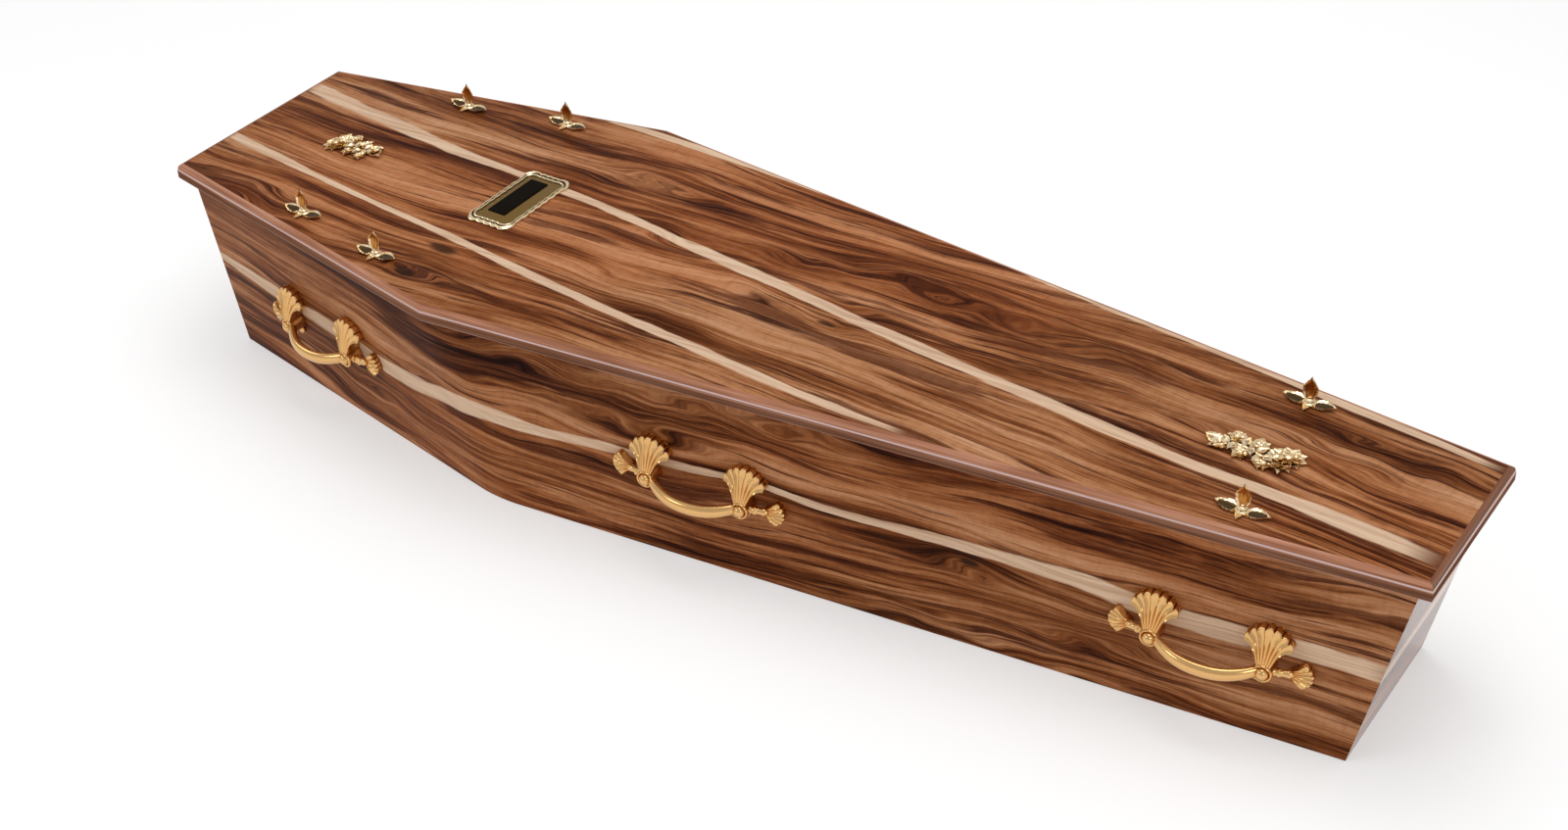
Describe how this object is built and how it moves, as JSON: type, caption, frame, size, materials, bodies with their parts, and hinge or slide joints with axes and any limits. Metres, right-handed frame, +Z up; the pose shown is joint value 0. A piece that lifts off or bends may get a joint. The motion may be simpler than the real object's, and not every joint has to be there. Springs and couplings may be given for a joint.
{
  "type": "coffin",
  "caption": "Six-sided wooden coffin in glossy dark veneer, with an overhanging lid that lifts off, shell-ended gold handles, leaf thumb screws, a nameplate and flower sprays.",
  "frame": {"origin": "on the floor under the middle of the lid", "axes": "+X to the foot end, +Y to the side away from the camera, +Z up"},
  "size_m": [1.96, 0.574, 0.3593],
  "materials": {
    "veneer": "dark walnut veneer under gloss lacquer",
    "gold": "bright gold electroplate",
    "black_panel": "satin black, bare"
  },
  "bodies": {
    "root": {"base_board": "veneer", "side_near": "veneer", "side_far": "veneer", "head_board": "veneer", "foot_board": "veneer", "lid": "veneer", "handle_near_1": "gold", "handle_near_2": "gold", "handle_near_3": "gold", "handle_far_1": "gold", "handle_far_2": "gold", "handle_far_3": "gold", "holder_plate_1": "gold", "holder_plate_2": "gold", "holder_plate_3": "gold", "holder_plate_4": "gold", "holder_plate_5": "gold", "holder_plate_6": "gold", "thumb_screw_1": "gold", "thumb_screw_2": "gold", "thumb_screw_3": "gold", "thumb_screw_4": "gold", "thumb_screw_5": "gold", "thumb_screw_6": "gold", "nameplate": "gold", "spray_head": "gold", "spray_foot": "gold", "nameplate_panel": "black_panel"}
  },
  "joints": []
}
